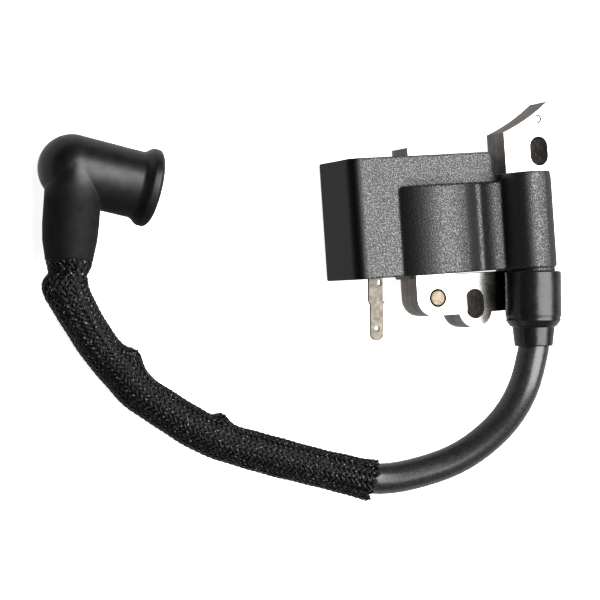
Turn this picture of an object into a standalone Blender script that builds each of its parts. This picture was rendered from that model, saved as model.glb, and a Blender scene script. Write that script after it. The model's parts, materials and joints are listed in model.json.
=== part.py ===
"""Ignition coil module of a small two-stroke engine, lying on its back.

The module is a U-shaped laminated core with a moulded coil case on one leg, a high-tension
tower with a rubber gland, a high-tension lead in a braided sleeve, and an elbow plug boot.

The module is drawn in its own frame, carried by the empty core_datum: local X runs across
the core from its left leg, local Y along the legs towards the flywheel, and local Z out of
the core's front face, which is local Z = 0. Sizes are in millimetres. The lead, the sleeve
and the boot lie on the table and are drawn in the world frame, whose Z = 0 is the table.
"""

import math

import bmesh
import bpy
from mathutils import Matrix, Vector

MM = 0.001
GAP = 0.3  # clearance between neighbouring pieces
WELD = 1e-6  # metres

# The module's frame: the middle of its footprint is the world's origin.
MODULE_LEFT, MODULE_RIGHT = -16.4, 37.6
MODULE_LOW, MODULE_HIGH = -18.0, 38.0
DATUM = (-(MODULE_LEFT + MODULE_RIGHT) / 2, -(MODULE_LOW + MODULE_HIGH) / 2, 14.5)

# Laminated core
CORE_THICK = 8.5
LEG_LEFT, LEG_RIGHT = -0.6, 9.4  # the leg that carries the coil
POST_LEFT, POST_RIGHT = 23.9, 33.9  # the other leg, behind the tower
YOKE_LOW, YOKE_TOP = -9.4, -0.4
FLYWHEEL_CENTRE = (7.2, 74.2)
FLYWHEEL_RADIUS = 46.1
POLE_TIP = (35.8, 38.0)
EAR_EDGE = 37.6
CORE_CORNER = 4.0
SLOT_RADIUS, SLOT_HALF_STRAIGHT = 2.25, 1.1
LOWER_SLOT = (13.7, -7.3)
UPPER_SLOT = (32.75, 26.6)
LUG_RADIUS = 4.2  # round the lower slot's far end
RIVET_PLACE = (4.5, -5.4)
RIVET_RADIUS = 1.75

# Case
CASE_LEFT, CASE_RIGHT = -16.4, 19.8
CASE_TOP = 26.8
CASE_BACK, CASE_FRONT = -14.5, 3.7
CASE_WALL = 1.5
CASE_CORNER, CASE_SIDE_CORNER = 2.7, 2.3  # front corners, left and right
BULGE_TOP = 19.75
COIL_CENTRE = (4.4, -4.25)  # local X and Z of the coil's axis
BULGE_RADIUS = 12.5
WEB_HEIGHT = 4.5
RIB_CENTRE, RIB_RADIUS = (18.0, 2.3), 4.0
TOWER_CENTRE = (25.3, 7.0)
TOWER_RADIUS = 5.95
TOWER_TOP = 21.6
BORE_RADIUS = 3.85
BORE_END = 17.3
SPIGOT_RADIUS, SPIGOT_END = 5.0, -6.0

# Coil
COIL_LOW, COIL_TOP = 2.0, 18.0
SECTIONS = 4
FLANGE = 0.6

# Kill-switch terminal
BLADE_CENTRE, BLADE_WIDTH, BLADE_THICK = -9.35, 3.2, 0.6
BLADE_TIP, BLADE_ROOT, BLADE_FRONT = -14.1, 1.8, -2.2

# Lead, sleeve and boot
LEAD_RADIUS = 3.5
SLEEVE_INNER, SLEEVE_OUTER = 3.85, 4.3
LEAD_STEP = 7.0  # spacing of the lead's points
LEAD_ROUTE = (
    (14.7, 1.7, 21.5),
    (14.7, -5.0, 21.5),
    (14.7, -11.0, 21.5),
    (14.42, -15.8, 21.5),
    (14.1, -20.8, 21.5),
    (13.66, -27.7, 21.5),
    (12.75, -30.9, 21.4),
    (11.2, -36.2, 20.5),
    (8.9, -41.5, 18.5),
    (5.0, -46.7, 15.7),
    (-2.2, -51.9, 12.3),
    (-11.1, -54.7, 9.2),
    (-19.8, -55.5, 6.6),
    (-28.9, -53.3, 4.9),
    (-38.3, -50.2, 4.5),
    (-47.6, -46.9, 4.5),
    (-56.4, -43.5, 4.5),
    (-61.4, -40.8, 4.5),
    (-70.1, -34.6, 4.5),
    (-74.9, -30.8, 4.5),
    (-78.8, -26.0, 4.8),
    (-83.0, -20.8, 5.7),
    (-86.6, -15.3, 7.3),
    (-89.3, -10.3, 8.8),
    (-90.3, -6.6, 9.4),
    (-89.6, -1.9, 9.3),
    (-88.95, 3.08, 8.9),
    (-87.65, 13.03, 8.1),
)
SLEEVE_END = (-20.6, -55.5, 6.4)
BOOT_MOUTH = Vector((-89.6, -1.9, 9.3))
BOOT_HEAD = Vector((-87.0, 18.0, 7.7))
BOOT_RIM = Vector((-70.8, 13.1, 8.9))
BOOT_LENGTH = 18.5  # from the head's centre to the plug end's rim
HEAD_RADIUS = 7.4
RIM_RADIUS = 8.5
PLUG_BORE = 5.2


# ---------------------------------------------------------------- tools


def clear_scene():
    for obj in list(bpy.data.objects):
        bpy.data.objects.remove(obj)


def new_collection(name, hidden=False):
    collection = bpy.data.collections.new(name)
    collection.hide_render = hidden
    bpy.context.scene.collection.children.link(collection)
    return collection


def new_material(name, colour, roughness, metallic=0.0):
    material = bpy.data.materials.new(name)
    material.use_nodes = True
    shader = material.node_tree.nodes["Principled BSDF"]
    shader.inputs["Base Color"].default_value = (*colour, 1)
    shader.inputs["Roughness"].default_value = roughness
    shader.inputs["Metallic"].default_value = metallic
    return material


def new_empty(name, matrix):
    empty = bpy.data.objects.new(name, None)
    PARTS.objects.link(empty)
    empty.matrix_world = matrix
    return empty


def keep(obj, material, parent=None):
    """Make the object a part, in its material."""
    PARTS.objects.link(obj)
    obj.parent = parent
    obj.data.materials.clear()
    obj.data.materials.append(material)
    if obj.type == "MESH":
        obj.data.shade_smooth()
        obj.data.set_sharp_from_angle(angle=math.radians(35))
    return obj


def tool(obj, parent=None):
    """Make the object a cutter or a piece to join on."""
    TOOLS.objects.link(obj)
    obj.parent = parent
    obj.hide_render = True
    obj.display_type = "WIRE"
    return obj


def boolean(obj, other, operation):
    modifier = obj.modifiers.new(operation.lower() + " " + other.name, "BOOLEAN")
    modifier.operation = operation
    modifier.object = other


def cut(obj, *cutters):
    for cutter in cutters:
        boolean(obj, cutter, "DIFFERENCE")


def join(obj, *others):
    for other in others:
        boolean(obj, other, "UNION")


def bevel(obj, width, segments=2, angle=40):
    modifier = obj.modifiers.new("bevel", "BEVEL")
    modifier.width = width * MM
    modifier.segments = segments
    modifier.limit_method = "ANGLE"
    modifier.angle_limit = math.radians(angle)


def mesh_object(name, shape):
    mesh = bpy.data.meshes.new(name)
    shape.to_mesh(mesh)
    shape.free()
    return bpy.data.objects.new(name, mesh)


def box(name, low, high):
    low, high = Vector(low), Vector(high)
    shape = bmesh.new()
    bmesh.ops.create_cube(shape, size=1.0)
    bmesh.ops.scale(shape, vec=(high - low) * MM, verts=shape.verts)
    bmesh.ops.translate(shape, vec=(high + low) / 2 * MM, verts=shape.verts)
    return mesh_object(name, shape)


def cylinder(name, start, end, radius, sides=32):
    start, end = Vector(start), Vector(end)
    along = end - start
    shape = bmesh.new()
    bmesh.ops.create_cone(
        shape, cap_ends=True, segments=sides, radius1=radius * MM, radius2=radius * MM,
        depth=along.length * MM,
    )
    turn = along.to_track_quat("Z", "Y").to_matrix().to_4x4()
    place = Matrix.Translation((start + end) / 2 * MM)
    bmesh.ops.transform(shape, matrix=place @ turn, verts=shape.verts)
    return mesh_object(name, shape)


def ball(name, centre, radius, sides=32):
    shape = bmesh.new()
    bmesh.ops.create_uvsphere(shape, u_segments=sides, v_segments=sides // 2, radius=radius * MM)
    bmesh.ops.translate(shape, vec=Vector(centre) * MM, verts=shape.verts)
    return mesh_object(name, shape)


def arc(centre, radius, start, end, steps):
    """Points of an arc; the angles are in degrees."""
    angles = [math.radians(start + (end - start) * i / steps) for i in range(steps + 1)]
    return [(centre[0] + radius * math.cos(a), centre[1] + radius * math.sin(a)) for a in angles]


def rounded_rectangle(centre, half_width, half_height, radius, steps=6):
    points = []
    for quarter, (side, end) in enumerate(((1, 1), (-1, 1), (-1, -1), (1, -1))):
        corner = (
            centre[0] + side * (half_width - radius),
            centre[1] + end * (half_height - radius),
        )
        points += arc(corner, radius, 90 * quarter, 90 * quarter + 90, steps)
    return points


def slot_outline(centre, radius, half_straight, steps=14):
    top = arc((centre[0], centre[1] + half_straight), radius, 0, 180, steps)
    low = arc((centre[0], centre[1] - half_straight), radius, 180, 360, steps)
    return top + low


def plate(name, loops, thickness):
    """A flat outline with its holes, as a 2D curve: its middle plane is local Z = 0."""
    curve = bpy.data.curves.new(name, "CURVE")
    curve.dimensions = "2D"
    curve.fill_mode = "BOTH"
    curve.extrude = thickness / 2 * MM
    for loop in loops:
        spline = curve.splines.new("POLY")
        spline.points.add(len(loop) - 1)
        for point, (x, y) in zip(spline.points, loop):
            point.co = (x * MM, y * MM, 0, 1)
        spline.use_cyclic_u = True
    return bpy.data.objects.new(name, curve)


def bar(name, loops, low, high):
    """An outline in local X and Z, extruded along local Y from low to high."""
    obj = plate(name, loops, high - low)
    obj.location = (0, (low + high) / 2 * MM, 0)
    obj.rotation_euler = (math.radians(90), 0, 0)
    return obj


def meshed(obj):
    """The curve object as a welded mesh object."""
    name = obj.name
    bpy.context.scene.collection.objects.link(obj)
    bpy.context.view_layer.update()
    graph = bpy.context.evaluated_depsgraph_get()
    mesh = bpy.data.meshes.new_from_object(obj.evaluated_get(graph))
    shape = bmesh.new()
    shape.from_mesh(mesh)
    bmesh.ops.remove_doubles(shape, verts=shape.verts, dist=WELD)
    bmesh.ops.recalc_face_normals(shape, faces=shape.faces)
    shape.to_mesh(mesh)
    shape.free()
    place = obj.matrix_world.copy()
    bpy.data.objects.remove(obj)
    solid = bpy.data.objects.new(name, mesh)
    solid.matrix_world = place
    return solid


def turned(name, profile, closed=False, steps=40):
    """A profile of (radius, height), down its outer side, turned about local Z."""
    mesh = bpy.data.meshes.new(name)
    last = len(profile) - 1
    edges = [(i, i + 1) for i in range(last)] + ([(last, 0)] if closed else [])
    mesh.from_pydata([(r * MM, 0, z * MM) for r, z in profile], edges, [])
    obj = bpy.data.objects.new(name, mesh)
    screw = obj.modifiers.new("screw", "SCREW")
    screw.steps = screw.render_steps = steps
    screw.use_merge_vertices = True
    screw.merge_threshold = 1e-5
    return obj


def wire(name, points, radius, resolution=2):
    """A round wire or tube through the points, with closed ends."""
    curve = bpy.data.curves.new(name, "CURVE")
    curve.dimensions = "3D"
    curve.bevel_depth = radius * MM
    curve.bevel_resolution = resolution
    curve.use_fill_caps = True
    spline = curve.splines.new("POLY")
    spline.points.add(len(points) - 1)
    for point, place in zip(spline.points, points):
        point.co = (*(Vector(place) * MM), 1)
    return bpy.data.objects.new(name, curve)


def smooth_route(route, step):
    """Points about a step apart on the centripetal Catmull-Rom curve through the route."""
    knots = [Vector(point) for point in route]
    knots = [2 * knots[0] - knots[1], *knots, 2 * knots[-1] - knots[-2]]
    fine = []
    for a, b, c, d in zip(knots, knots[1:], knots[2:], knots[3:]):
        ta, tb = 0.0, (b - a).length ** 0.5
        tc = tb + (c - b).length ** 0.5
        td = tc + (d - c).length ** 0.5
        for i in range(20):
            t = tb + (tc - tb) * i / 20
            ab = a.lerp(b, (t - ta) / (tb - ta))
            bc = b.lerp(c, (t - tb) / (tc - tb))
            cd = c.lerp(d, (t - tc) / (td - tc))
            left = ab.lerp(bc, (t - ta) / (tc - ta))
            right = bc.lerp(cd, (t - tb) / (td - tb))
            fine.append(left.lerp(right, (t - tb) / (tc - tb)))
    fine.append(knots[-2])
    lengths = [0.0]
    for a, b in zip(fine, fine[1:]):
        lengths.append(lengths[-1] + (b - a).length)
    count = round(lengths[-1] / step)
    points, at = [], 0
    for i in range(count + 1):
        wanted = lengths[-1] * i / count
        while at < len(fine) - 2 and lengths[at + 1] < wanted:
            at += 1
        share = (wanted - lengths[at]) / (lengths[at + 1] - lengths[at])
        points.append(fine[at].lerp(fine[at + 1], share))
    return points


# ---------------------------------------------------------------- core


def pole_point(x):
    """A point of the pole faces, which follow the flywheel's rim."""
    return (x, FLYWHEEL_CENTRE[1] - math.sqrt(FLYWHEEL_RADIUS**2 - (x - FLYWHEEL_CENTRE[0]) ** 2))


def core_outline():
    """The outline of one sheet, anticlockwise from the left leg's foot."""
    corner = CORE_CORNER
    lug = (LOWER_SLOT[0], LOWER_SLOT[1] - SLOT_HALF_STRAIGHT - 0.1)
    dip = math.degrees(math.asin((lug[1] - YOKE_LOW) / LUG_RADIUS))
    outline = arc((LEG_LEFT + corner, YOKE_LOW + corner), corner, 180, 270, 8)
    outline += arc(lug, LUG_RADIUS, 180 + dip, 360 - dip, 18)
    outline += arc((POST_RIGHT - corner, YOKE_LOW + corner), corner, 270, 360, 6)
    outline += [
        (POST_RIGHT, 17.5),
        (EAR_EDGE, 21.5),
        (EAR_EDGE, 29.7),
        (35.8, 32.0),
        POLE_TIP,
    ]
    outline += [pole_point(x) for x in (33.5, 31.0, 28.5, 26.0, POST_LEFT)]
    outline += [(POST_LEFT, YOKE_TOP), (LEG_RIGHT, YOKE_TOP)]
    outline += [pole_point(x) for x in (LEG_RIGHT, 6.0, 3.0, LEG_LEFT)]
    return outline


def lamination_stack():
    loops = [
        core_outline(),
        slot_outline(LOWER_SLOT, SLOT_RADIUS, SLOT_HALF_STRAIGHT),
        slot_outline(UPPER_SLOT, SLOT_RADIUS, SLOT_HALF_STRAIGHT),
        arc(RIVET_PLACE, RIVET_RADIUS + GAP, 0, 345, 23),
    ]
    stack = meshed(plate("lamination_stack", loops, CORE_THICK))
    stack.location = (0, 0, -CORE_THICK / 2 * MM)
    keep(stack, STEEL, CORE)


def ground_rivet():
    """The copper pin staked through the yoke, which grounds the coil to the core."""
    low, high = -CORE_THICK - 0.2, -0.15
    profile = [
        (0, high),
        (RIVET_RADIUS - 0.25, high),
        (RIVET_RADIUS, high - 0.25),
        (RIVET_RADIUS, low + 0.25),
        (RIVET_RADIUS - 0.25, low),
        (0, low),
    ]
    rivet = turned("ground_rivet", profile, steps=24)
    rivet.location = (RIVET_PLACE[0] * MM, RIVET_PLACE[1] * MM, 0)
    keep(rivet, COPPER, CORE)


# ---------------------------------------------------------------- case


def bulge_height(x):
    """The front of the moulding over the coil, the rib and the web, blended together."""
    soft = 0.5
    heights = [WEB_HEIGHT]
    for (middle, centre), radius in ((COIL_CENTRE, BULGE_RADIUS), (RIB_CENTRE, RIB_RADIUS)):
        reach = radius**2 - (x - middle) ** 2
        if reach > 0:
            heights.append(centre + math.sqrt(reach))
    if x < COIL_CENTRE[0]:
        return heights[-1]
    return soft * math.log(sum(math.exp(height / soft) for height in heights))


def case_shell():
    width, depth = CASE_RIGHT - CASE_LEFT, CASE_FRONT - CASE_BACK
    outline = [(CASE_LEFT, CASE_BACK), (CASE_RIGHT, CASE_BACK)]
    soft = CASE_SIDE_CORNER
    outline += arc((CASE_RIGHT - soft, CASE_FRONT - soft), soft, 0, 90, 8)
    corner = (CASE_LEFT + CASE_CORNER, CASE_FRONT - CASE_CORNER)
    outline += arc(corner, CASE_CORNER, 90, 180, 8)
    case = meshed(bar("case_shell", [outline], 0, CASE_TOP))
    bevel(case, 0.5)

    foot = COIL_CENTRE[0] - math.sqrt(BULGE_RADIUS**2 - (CASE_FRONT - 1 - COIL_CENTRE[1]) ** 2)
    crest = [foot + (TOWER_CENTRE[0] - foot) * i / 44 for i in range(45)]
    front = [(x, bulge_height(x)) for x in crest]
    inside = CASE_FRONT - 2.7
    profile = front + [(TOWER_CENTRE[0], inside), (foot, inside)]
    bulge = meshed(bar("coil_bulge", [profile[::-1]], 0.2, BULGE_TOP))
    bevel(bulge, 0.4, 1, 60)
    tower = turned(
        "ht_tower",
        [
            (0, TOWER_TOP),
            (TOWER_RADIUS - 1.0, TOWER_TOP),
            (TOWER_RADIUS - 0.3, TOWER_TOP - 0.3),
            (TOWER_RADIUS, TOWER_TOP - 1.0),
            (TOWER_RADIUS, -0.2),
            (SPIGOT_RADIUS, -0.2),
            (SPIGOT_RADIUS, SPIGOT_END),
            (0, SPIGOT_END),
        ],
    )
    tower.location = (TOWER_CENTRE[0] * MM, 0, TOWER_CENTRE[1] * MM)
    tower.rotation_euler = (math.radians(-90), 0, 0)
    lip = box("leg_lip", (LEG_LEFT - 1.2, -0.75, -CORE_THICK), (LEG_LEFT, 0.4, 0.1))
    join(case, tool(bulge, CORE), tool(tower, CORE), tool(lip, CORE))

    wall = CASE_WALL
    left, right = CASE_LEFT + wall, CASE_RIGHT - wall
    room = box(
        "board_room",
        (left, wall, CASE_BACK - 1),
        (right, CASE_TOP - wall, CASE_FRONT - wall),
    )
    coil_x, coil_z = COIL_CENTRE
    pocket = cylinder(
        "coil_pocket",
        (coil_x, wall + 0.01, coil_z),
        (coil_x, BULGE_TOP - wall, coil_z),
        BULGE_RADIUS - wall,
        48,
    )
    window = box(
        "leg_window",
        (LEG_LEFT - GAP, -1, -CORE_THICK - GAP),
        (LEG_RIGHT + GAP, CASE_TOP + 2, GAP),
    )
    tower_x, tower_z = TOWER_CENTRE
    bore = cylinder(
        "lead_bore", (tower_x, SPIGOT_END - 1, tower_z), (tower_x, BORE_END, tower_z), BORE_RADIUS
    )
    channel = cylinder("link_channel", (15.5, 16.5, 1.0), (22.5, 16.5, 6.6), 0.9, 16)
    slit = box(
        "terminal_slit",
        (BLADE_CENTRE - 2.0 - GAP, -1, BLADE_FRONT - BLADE_THICK - GAP),
        (BLADE_CENTRE + 2.0 + GAP, wall + 1, BLADE_FRONT + GAP),
    )
    cut(case, *(tool(c, CORE) for c in (room, pocket, window, bore, channel, slit)))
    keep(case, NYLON, CORE)


def potting_resin():
    """The face of the poured resin that closes the open back of the case."""
    inset = CASE_WALL + GAP
    resin = box(
        "potting_resin",
        (CASE_LEFT + inset, inset, CASE_BACK + 0.3),
        (CASE_RIGHT - inset, CASE_TOP - inset, CASE_BACK + 1.3),
    )
    keep(resin, RESIN, CORE)


# ---------------------------------------------------------------- coil


def ring(name, inner, outer, low, high):
    """A rounded rectangular ring round the coil's axis: (half width, half height, radius)."""
    loops = [rounded_rectangle(COIL_CENTRE, *outer), rounded_rectangle(COIL_CENTRE, *inner)]
    return meshed(bar(name, loops, low, high))


def primary_coil():
    bobbin = ring("primary_bobbin", (5.3, 4.55, 0.3), (6.0, 5.25, 0.8), 1.8, 24.9)
    for number, low in enumerate((1.9, 17.7, 24.2)):
        lip = ring(f"primary_lip_{number}", (5.65, 4.9, 0.5), (6.9, 6.15, 1.6), low, low + FLANGE)
        join(bobbin, tool(lip, CORE))
    keep(bobbin, BOBBIN, CORE)
    winding = ring("primary_winding", (6.3, 5.55, 1.1), (6.9, 6.15, 1.6), 2.8, 17.4)
    keep(winding, ENAMEL, CORE)


def secondary_coil():
    bobbin = ring("secondary_bobbin", (7.2, 6.45, 1.9), (7.6, 6.85, 2.4), COIL_LOW, COIL_TOP)
    pitch = (COIL_TOP - COIL_LOW - FLANGE) / SECTIONS
    for number in range(SECTIONS + 1):
        low = COIL_LOW + pitch * number
        trim = 0.02 if number in (0, SECTIONS) else 0.0
        flange = ring(
            f"secondary_flange_{number}",
            (7.4, 6.65, 2.2),
            (9.4, 8.6, 6.0),
            low + trim,
            low + FLANGE - trim,
        )
        join(bobbin, tool(flange, CORE))
        if number < SECTIONS:
            winding = ring(
                f"secondary_winding_{number + 1}",
                (7.9, 7.15, 2.8),
                (9.0, 8.2, 5.6),
                low + FLANGE + GAP,
                low + pitch - GAP,
            )
            keep(winding, ENAMEL, CORE)
    keep(bobbin, BOBBIN, CORE)


def high_tension_contact():
    """The brass spike that enters the lead's end, and the wire that feeds it."""
    profile = [
        (0, 16.9),
        (3.3, 16.9),
        (3.3, 15.7),
        (0.8, 15.4),
        (0.6, 13.4),
        (0, 12.1),
    ]
    spike = turned("ht_contact_spike", profile, steps=24)
    spike.location = (TOWER_CENTRE[0] * MM, 0, TOWER_CENTRE[1] * MM)
    spike.rotation_euler = (math.radians(-90), 0, 0)
    keep(spike, BRASS, CORE)
    route = [
        (13.95, 16.1, -2.5),
        (14.0, 16.3, -0.9),
        (14.6, 16.5, 0.3),
        (15.5, 16.5, 1.0),
        (21.2, 16.5, 5.56),
    ]
    keep(wire("ht_link_wire", route, 0.3), COPPER, CORE)


# ---------------------------------------------------------------- electronics


def circuit_board():
    board = box("circuit_board", (-14.4, 2.1, -3.0), (-5.6, 24.4, -2.0))
    bevel(board, 0.2, 1)
    keep(board, FIBREGLASS, CORE)


def power_transistor():
    body = box("power_transistor", (-13.9, 12.0, -6.1), (-6.1, 22.8, -3.3))
    bevel(body, 0.3, 1)
    cut(body, tool(cylinder("transistor_hole", (-10, 20.6, -8), (-10, 20.6, -1), 1.6, 20), CORE))
    keep(body, EPOXY, CORE)


def capacitor():
    body = box("capacitor", (-13.6, 3.0, -9.4), (-6.4, 10.6, -3.3))
    bevel(body, 0.7, 2)
    keep(body, FILM, CORE)


def control_chip():
    body = box("control_chip", (-12.6, 14.6, -1.7), (-7.6, 18.6, -0.2))
    bevel(body, 0.2, 1)
    keep(body, EPOXY, CORE)


def axial_part(name, x, low, high, radius, material):
    """A round component with its leads bent down to the board."""
    foot, rise = -1.7, -2.0 + GAP + radius + 0.35
    ends = []
    for end, away in ((low, -1.2), (high, 1.2)):
        ends.append([(x, end + away, foot), (x, end + away, rise), (x, end - away * 0.5, rise)])
    body = cylinder(name, (x, low, rise), (x, high, rise), radius, 20)
    bevel(body, radius * 0.25, 2)
    for number, route in enumerate(ends):
        leg = meshed(wire(f"{name}_leg_{number}", route, 0.25))
        join(body, tool(leg, CORE))
    keep(body, material, CORE)


def primary_lead_wire():
    route = [(-6.2, 20.2, -1.4), (-3.2, 20.2, -1.4), (-2.25, 19.4, -1.4), (-2.25, 18.7, -1.4)]
    keep(wire("primary_lead_wire", route, 0.25), ENAMEL, CORE)


def kill_terminal():
    """The tinned blade that the stop switch's wire pushes on to."""
    half = BLADE_WIDTH / 2
    x = BLADE_CENTRE
    outline = [(x - half - 0.4, BLADE_ROOT), (x - half - 0.4, -5.0), (x - half, -5.9)]
    outline += arc((x, BLADE_TIP + half), half, 180, 360, 12)
    outline += [(x + half, -5.8), (x + half + 0.35, -5.7), (x + half + 0.35, -5.3)]
    outline += [(x + half - 0.1, -5.2), (x + half - 0.1, BLADE_ROOT)]
    loops = [
        outline,
        arc((x, -11.3), 0.5, 0, 330, 11),
        rounded_rectangle((x + 0.7, -1.1), 0.45, 0.45, 0.1, 2),
    ]
    blade = meshed(plate("kill_terminal", loops, BLADE_THICK))
    blade.location = (0, 0, (BLADE_FRONT - BLADE_THICK / 2) * MM)
    keep(blade, TIN, CORE)


# ---------------------------------------------------------------- lead


def ht_gland():
    """The rubber cap that seals the lead into the tower, tilted with the lead's pull."""
    profile = [
        (5.65, 0.0),
        (6.03, 0.0),
        (6.33, -0.3),
        (6.33, -10.0),
        (6.15, -10.7),
        (6.25, -11.1),
        (5.55, -12.0),
        (5.3, -12.4),
        (4.75, -12.8),
        (4.7, -13.3),
        (4.3, -16.62),
        (4.15, -16.92),
        (3.82, -16.92),
        (3.82, -6.9),
        (5.65, -6.5),
    ]
    gland = turned("ht_gland", profile, closed=True, steps=36)
    gland.location = (TOWER_CENTRE[0] * MM, -0.85 * MM, TOWER_CENTRE[1] * MM)
    gland.rotation_euler = (math.radians(-90), 0, math.radians(-3.7))
    keep(gland, RUBBER, CORE)


def lead_and_sleeve():
    points = smooth_route(LEAD_ROUTE, LEAD_STEP)
    keep(wire("ht_lead", points, LEAD_RADIUS, 4), SILICONE)
    end = Vector(SLEEVE_END)
    first = min(range(len(points)), key=lambda i: (points[i] - end).length)
    mouth = min(range(len(points)), key=lambda i: (points[i] - BOOT_MOUTH).length)
    covered = points[first:mouth]
    along = (BOOT_HEAD - BOOT_MOUTH).normalized()
    covered += [BOOT_MOUTH - along * 3.0, BOOT_MOUTH - along * GAP]
    sleeve = meshed(wire("braided_sleeve", covered, SLEEVE_OUTER, 4))
    before = covered[0] + (covered[0] - covered[1]).normalized() * 2
    after = covered[-1] + (covered[-1] - covered[-2]).normalized() * 2
    inside = meshed(wire("sleeve_bore", [before, *covered, after], SLEEVE_INNER, 4))
    cut(sleeve, tool(inside))
    keep(sleeve, BRAID)


# ---------------------------------------------------------------- boot


def boot_frame():
    """Local Z runs from the boot's mouth to its head, and local X towards the plug end."""
    up = (BOOT_HEAD - BOOT_MOUTH).normalized()
    plug = BOOT_RIM - BOOT_HEAD
    across = (plug - plug.dot(up) * up).normalized()
    side = up.cross(across)
    turn = Matrix((across, side, up)).transposed().to_4x4()
    return Matrix.Translation(BOOT_MOUTH * MM) @ turn


def plug_direction():
    """The plug end's direction in the boot's frame."""
    up = (BOOT_HEAD - BOOT_MOUTH).normalized()
    plug = (BOOT_RIM - BOOT_HEAD).normalized()
    lean = plug.dot(up)
    return Vector((math.sqrt(1 - lean**2), 0, lean))


def on_plug_axis(obj):
    """Stand a turned piece on the plug end's axis, with local Z = 0 at the head's centre."""
    head = Vector((0, 0, (BOOT_HEAD - BOOT_MOUTH).length))
    obj.location = head * MM
    obj.rotation_mode = "QUATERNION"
    obj.rotation_quaternion = plug_direction().to_track_quat("Z", "Y")
    return obj


def spark_plug_boot():
    length = (BOOT_HEAD - BOOT_MOUTH).length
    tube = turned(
        "spark_plug_boot",
        [
            (0, length),
            (5.9, length),
            (5.6, 13.0),
            (5.5, 7.0),
            (5.6, 4.6),
            (5.25, 2.0),
            (4.95, 0.25),
            (4.8, 0.0),
            (0, 0.0),
        ],
    )
    head = ball("boot_head", (0, 0, length), HEAD_RADIUS)
    plug_end = turned(
        "boot_plug_end",
        [
            (0, BOOT_LENGTH),
            (RIM_RADIUS - 0.9, BOOT_LENGTH),
            (RIM_RADIUS - 0.2, BOOT_LENGTH - 0.5),
            (RIM_RADIUS, BOOT_LENGTH - 1.3),
            (RIM_RADIUS - 0.2, BOOT_LENGTH - 2.2),
            (HEAD_RADIUS + 0.2, BOOT_LENGTH - 3.4),
            (HEAD_RADIUS, BOOT_LENGTH - 5.0),
            (HEAD_RADIUS - 0.02, 0.0),
            (0, -1.0),
        ],
    )
    join(tube, tool(head, BOOT), tool(on_plug_axis(plug_end), BOOT))
    lead_bore = cylinder("boot_lead_bore", (0, 0, -1), (0, 0, 17.4), 3.82)
    socket = turned(
        "plug_socket",
        [
            (0, BOOT_LENGTH + 1.0),
            (RIM_RADIUS - 1.7, BOOT_LENGTH + 1.0),
            (RIM_RADIUS - 1.7, BOOT_LENGTH - 0.4),
            (PLUG_BORE, BOOT_LENGTH - 3.0),
            (PLUG_BORE, -1.5),
            (PLUG_BORE - 1.0, -2.5),
            (0, -2.5),
        ],
    )
    cut(tube, tool(lead_bore, BOOT), tool(on_plug_axis(socket), BOOT))
    keep(tube, RUBBER, BOOT)


def plug_contacts():
    """The spring that grips the plug's terminal, and the pin that enters the lead."""
    turns, start, pitch, radius, steps = 5, 2.0, 1.5, 3.1, 14
    helix = []
    for i in range(turns * steps + 1):
        angle = 2 * math.pi * i / steps
        height = start + pitch * i / steps
        helix.append((radius * math.cos(angle), radius * math.sin(angle), height))
    spring = on_plug_axis(wire("plug_terminal_spring", helix, 0.45))
    keep(spring, SPRING, BOOT)
    length = (BOOT_HEAD - BOOT_MOUTH).length
    pin = wire("lead_contact_pin", [(0, 0, 15.5), (0, 0, length - 1), (0.3, 0, length)], 0.5)
    keep(pin, BRASS, BOOT)


# ---------------------------------------------------------------- assembly

clear_scene()
PARTS = new_collection("ignition_coil")
TOOLS = new_collection("cutters", hidden=True)

NYLON = new_material("glass-filled nylon", (0.012, 0.012, 0.014), 0.55)
STEEL = new_material("core steel", (0.62, 0.60, 0.57), 0.3, 1.0)
COPPER = new_material("copper", (0.80, 0.42, 0.28), 0.35, 1.0)
ENAMEL = new_material("enamelled wire", (0.55, 0.20, 0.06), 0.4, 0.8)
BOBBIN = new_material("bobbin plastic", (0.35, 0.30, 0.22), 0.5)
RESIN = new_material("potting resin", (0.015, 0.015, 0.016), 0.25)
FIBREGLASS = new_material("board", (0.05, 0.18, 0.08), 0.45)
EPOXY = new_material("moulded epoxy", (0.02, 0.02, 0.02), 0.5)
FILM = new_material("capacitor case", (0.45, 0.10, 0.05), 0.35)
TIN = new_material("tinned brass", (0.66, 0.62, 0.56), 0.35, 1.0)
BRASS = new_material("brass", (0.78, 0.60, 0.28), 0.3, 1.0)
RUBBER = new_material("black rubber", (0.014, 0.014, 0.014), 0.42)
SILICONE = new_material("lead jacket", (0.012, 0.012, 0.013), 0.28)
BRAID = new_material("braid", (0.012, 0.012, 0.012), 0.7)
SPRING = new_material("spring steel", (0.55, 0.55, 0.55), 0.3, 1.0)

CORE = new_empty("core_datum", Matrix.Translation(Vector(DATUM) * MM))
BOOT = new_empty("boot_datum", boot_frame())

lamination_stack()
ground_rivet()
case_shell()
potting_resin()
primary_coil()
secondary_coil()
high_tension_contact()
circuit_board()
power_transistor()
capacitor()
control_chip()
axial_part("resistor_1", -12.9, 4.6, 9.6, 0.8, BOBBIN)
axial_part("resistor_2", -10.4, 4.6, 9.6, 0.8, BOBBIN)
axial_part("diode", -7.6, 4.6, 8.8, 1.0, EPOXY)
primary_lead_wire()
kill_terminal()
ht_gland()
lead_and_sleeve()
spark_plug_boot()
plug_contacts()
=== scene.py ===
import json
import math
import random

import bmesh
import bpy
from mathutils import Euler, Matrix, Vector


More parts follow.
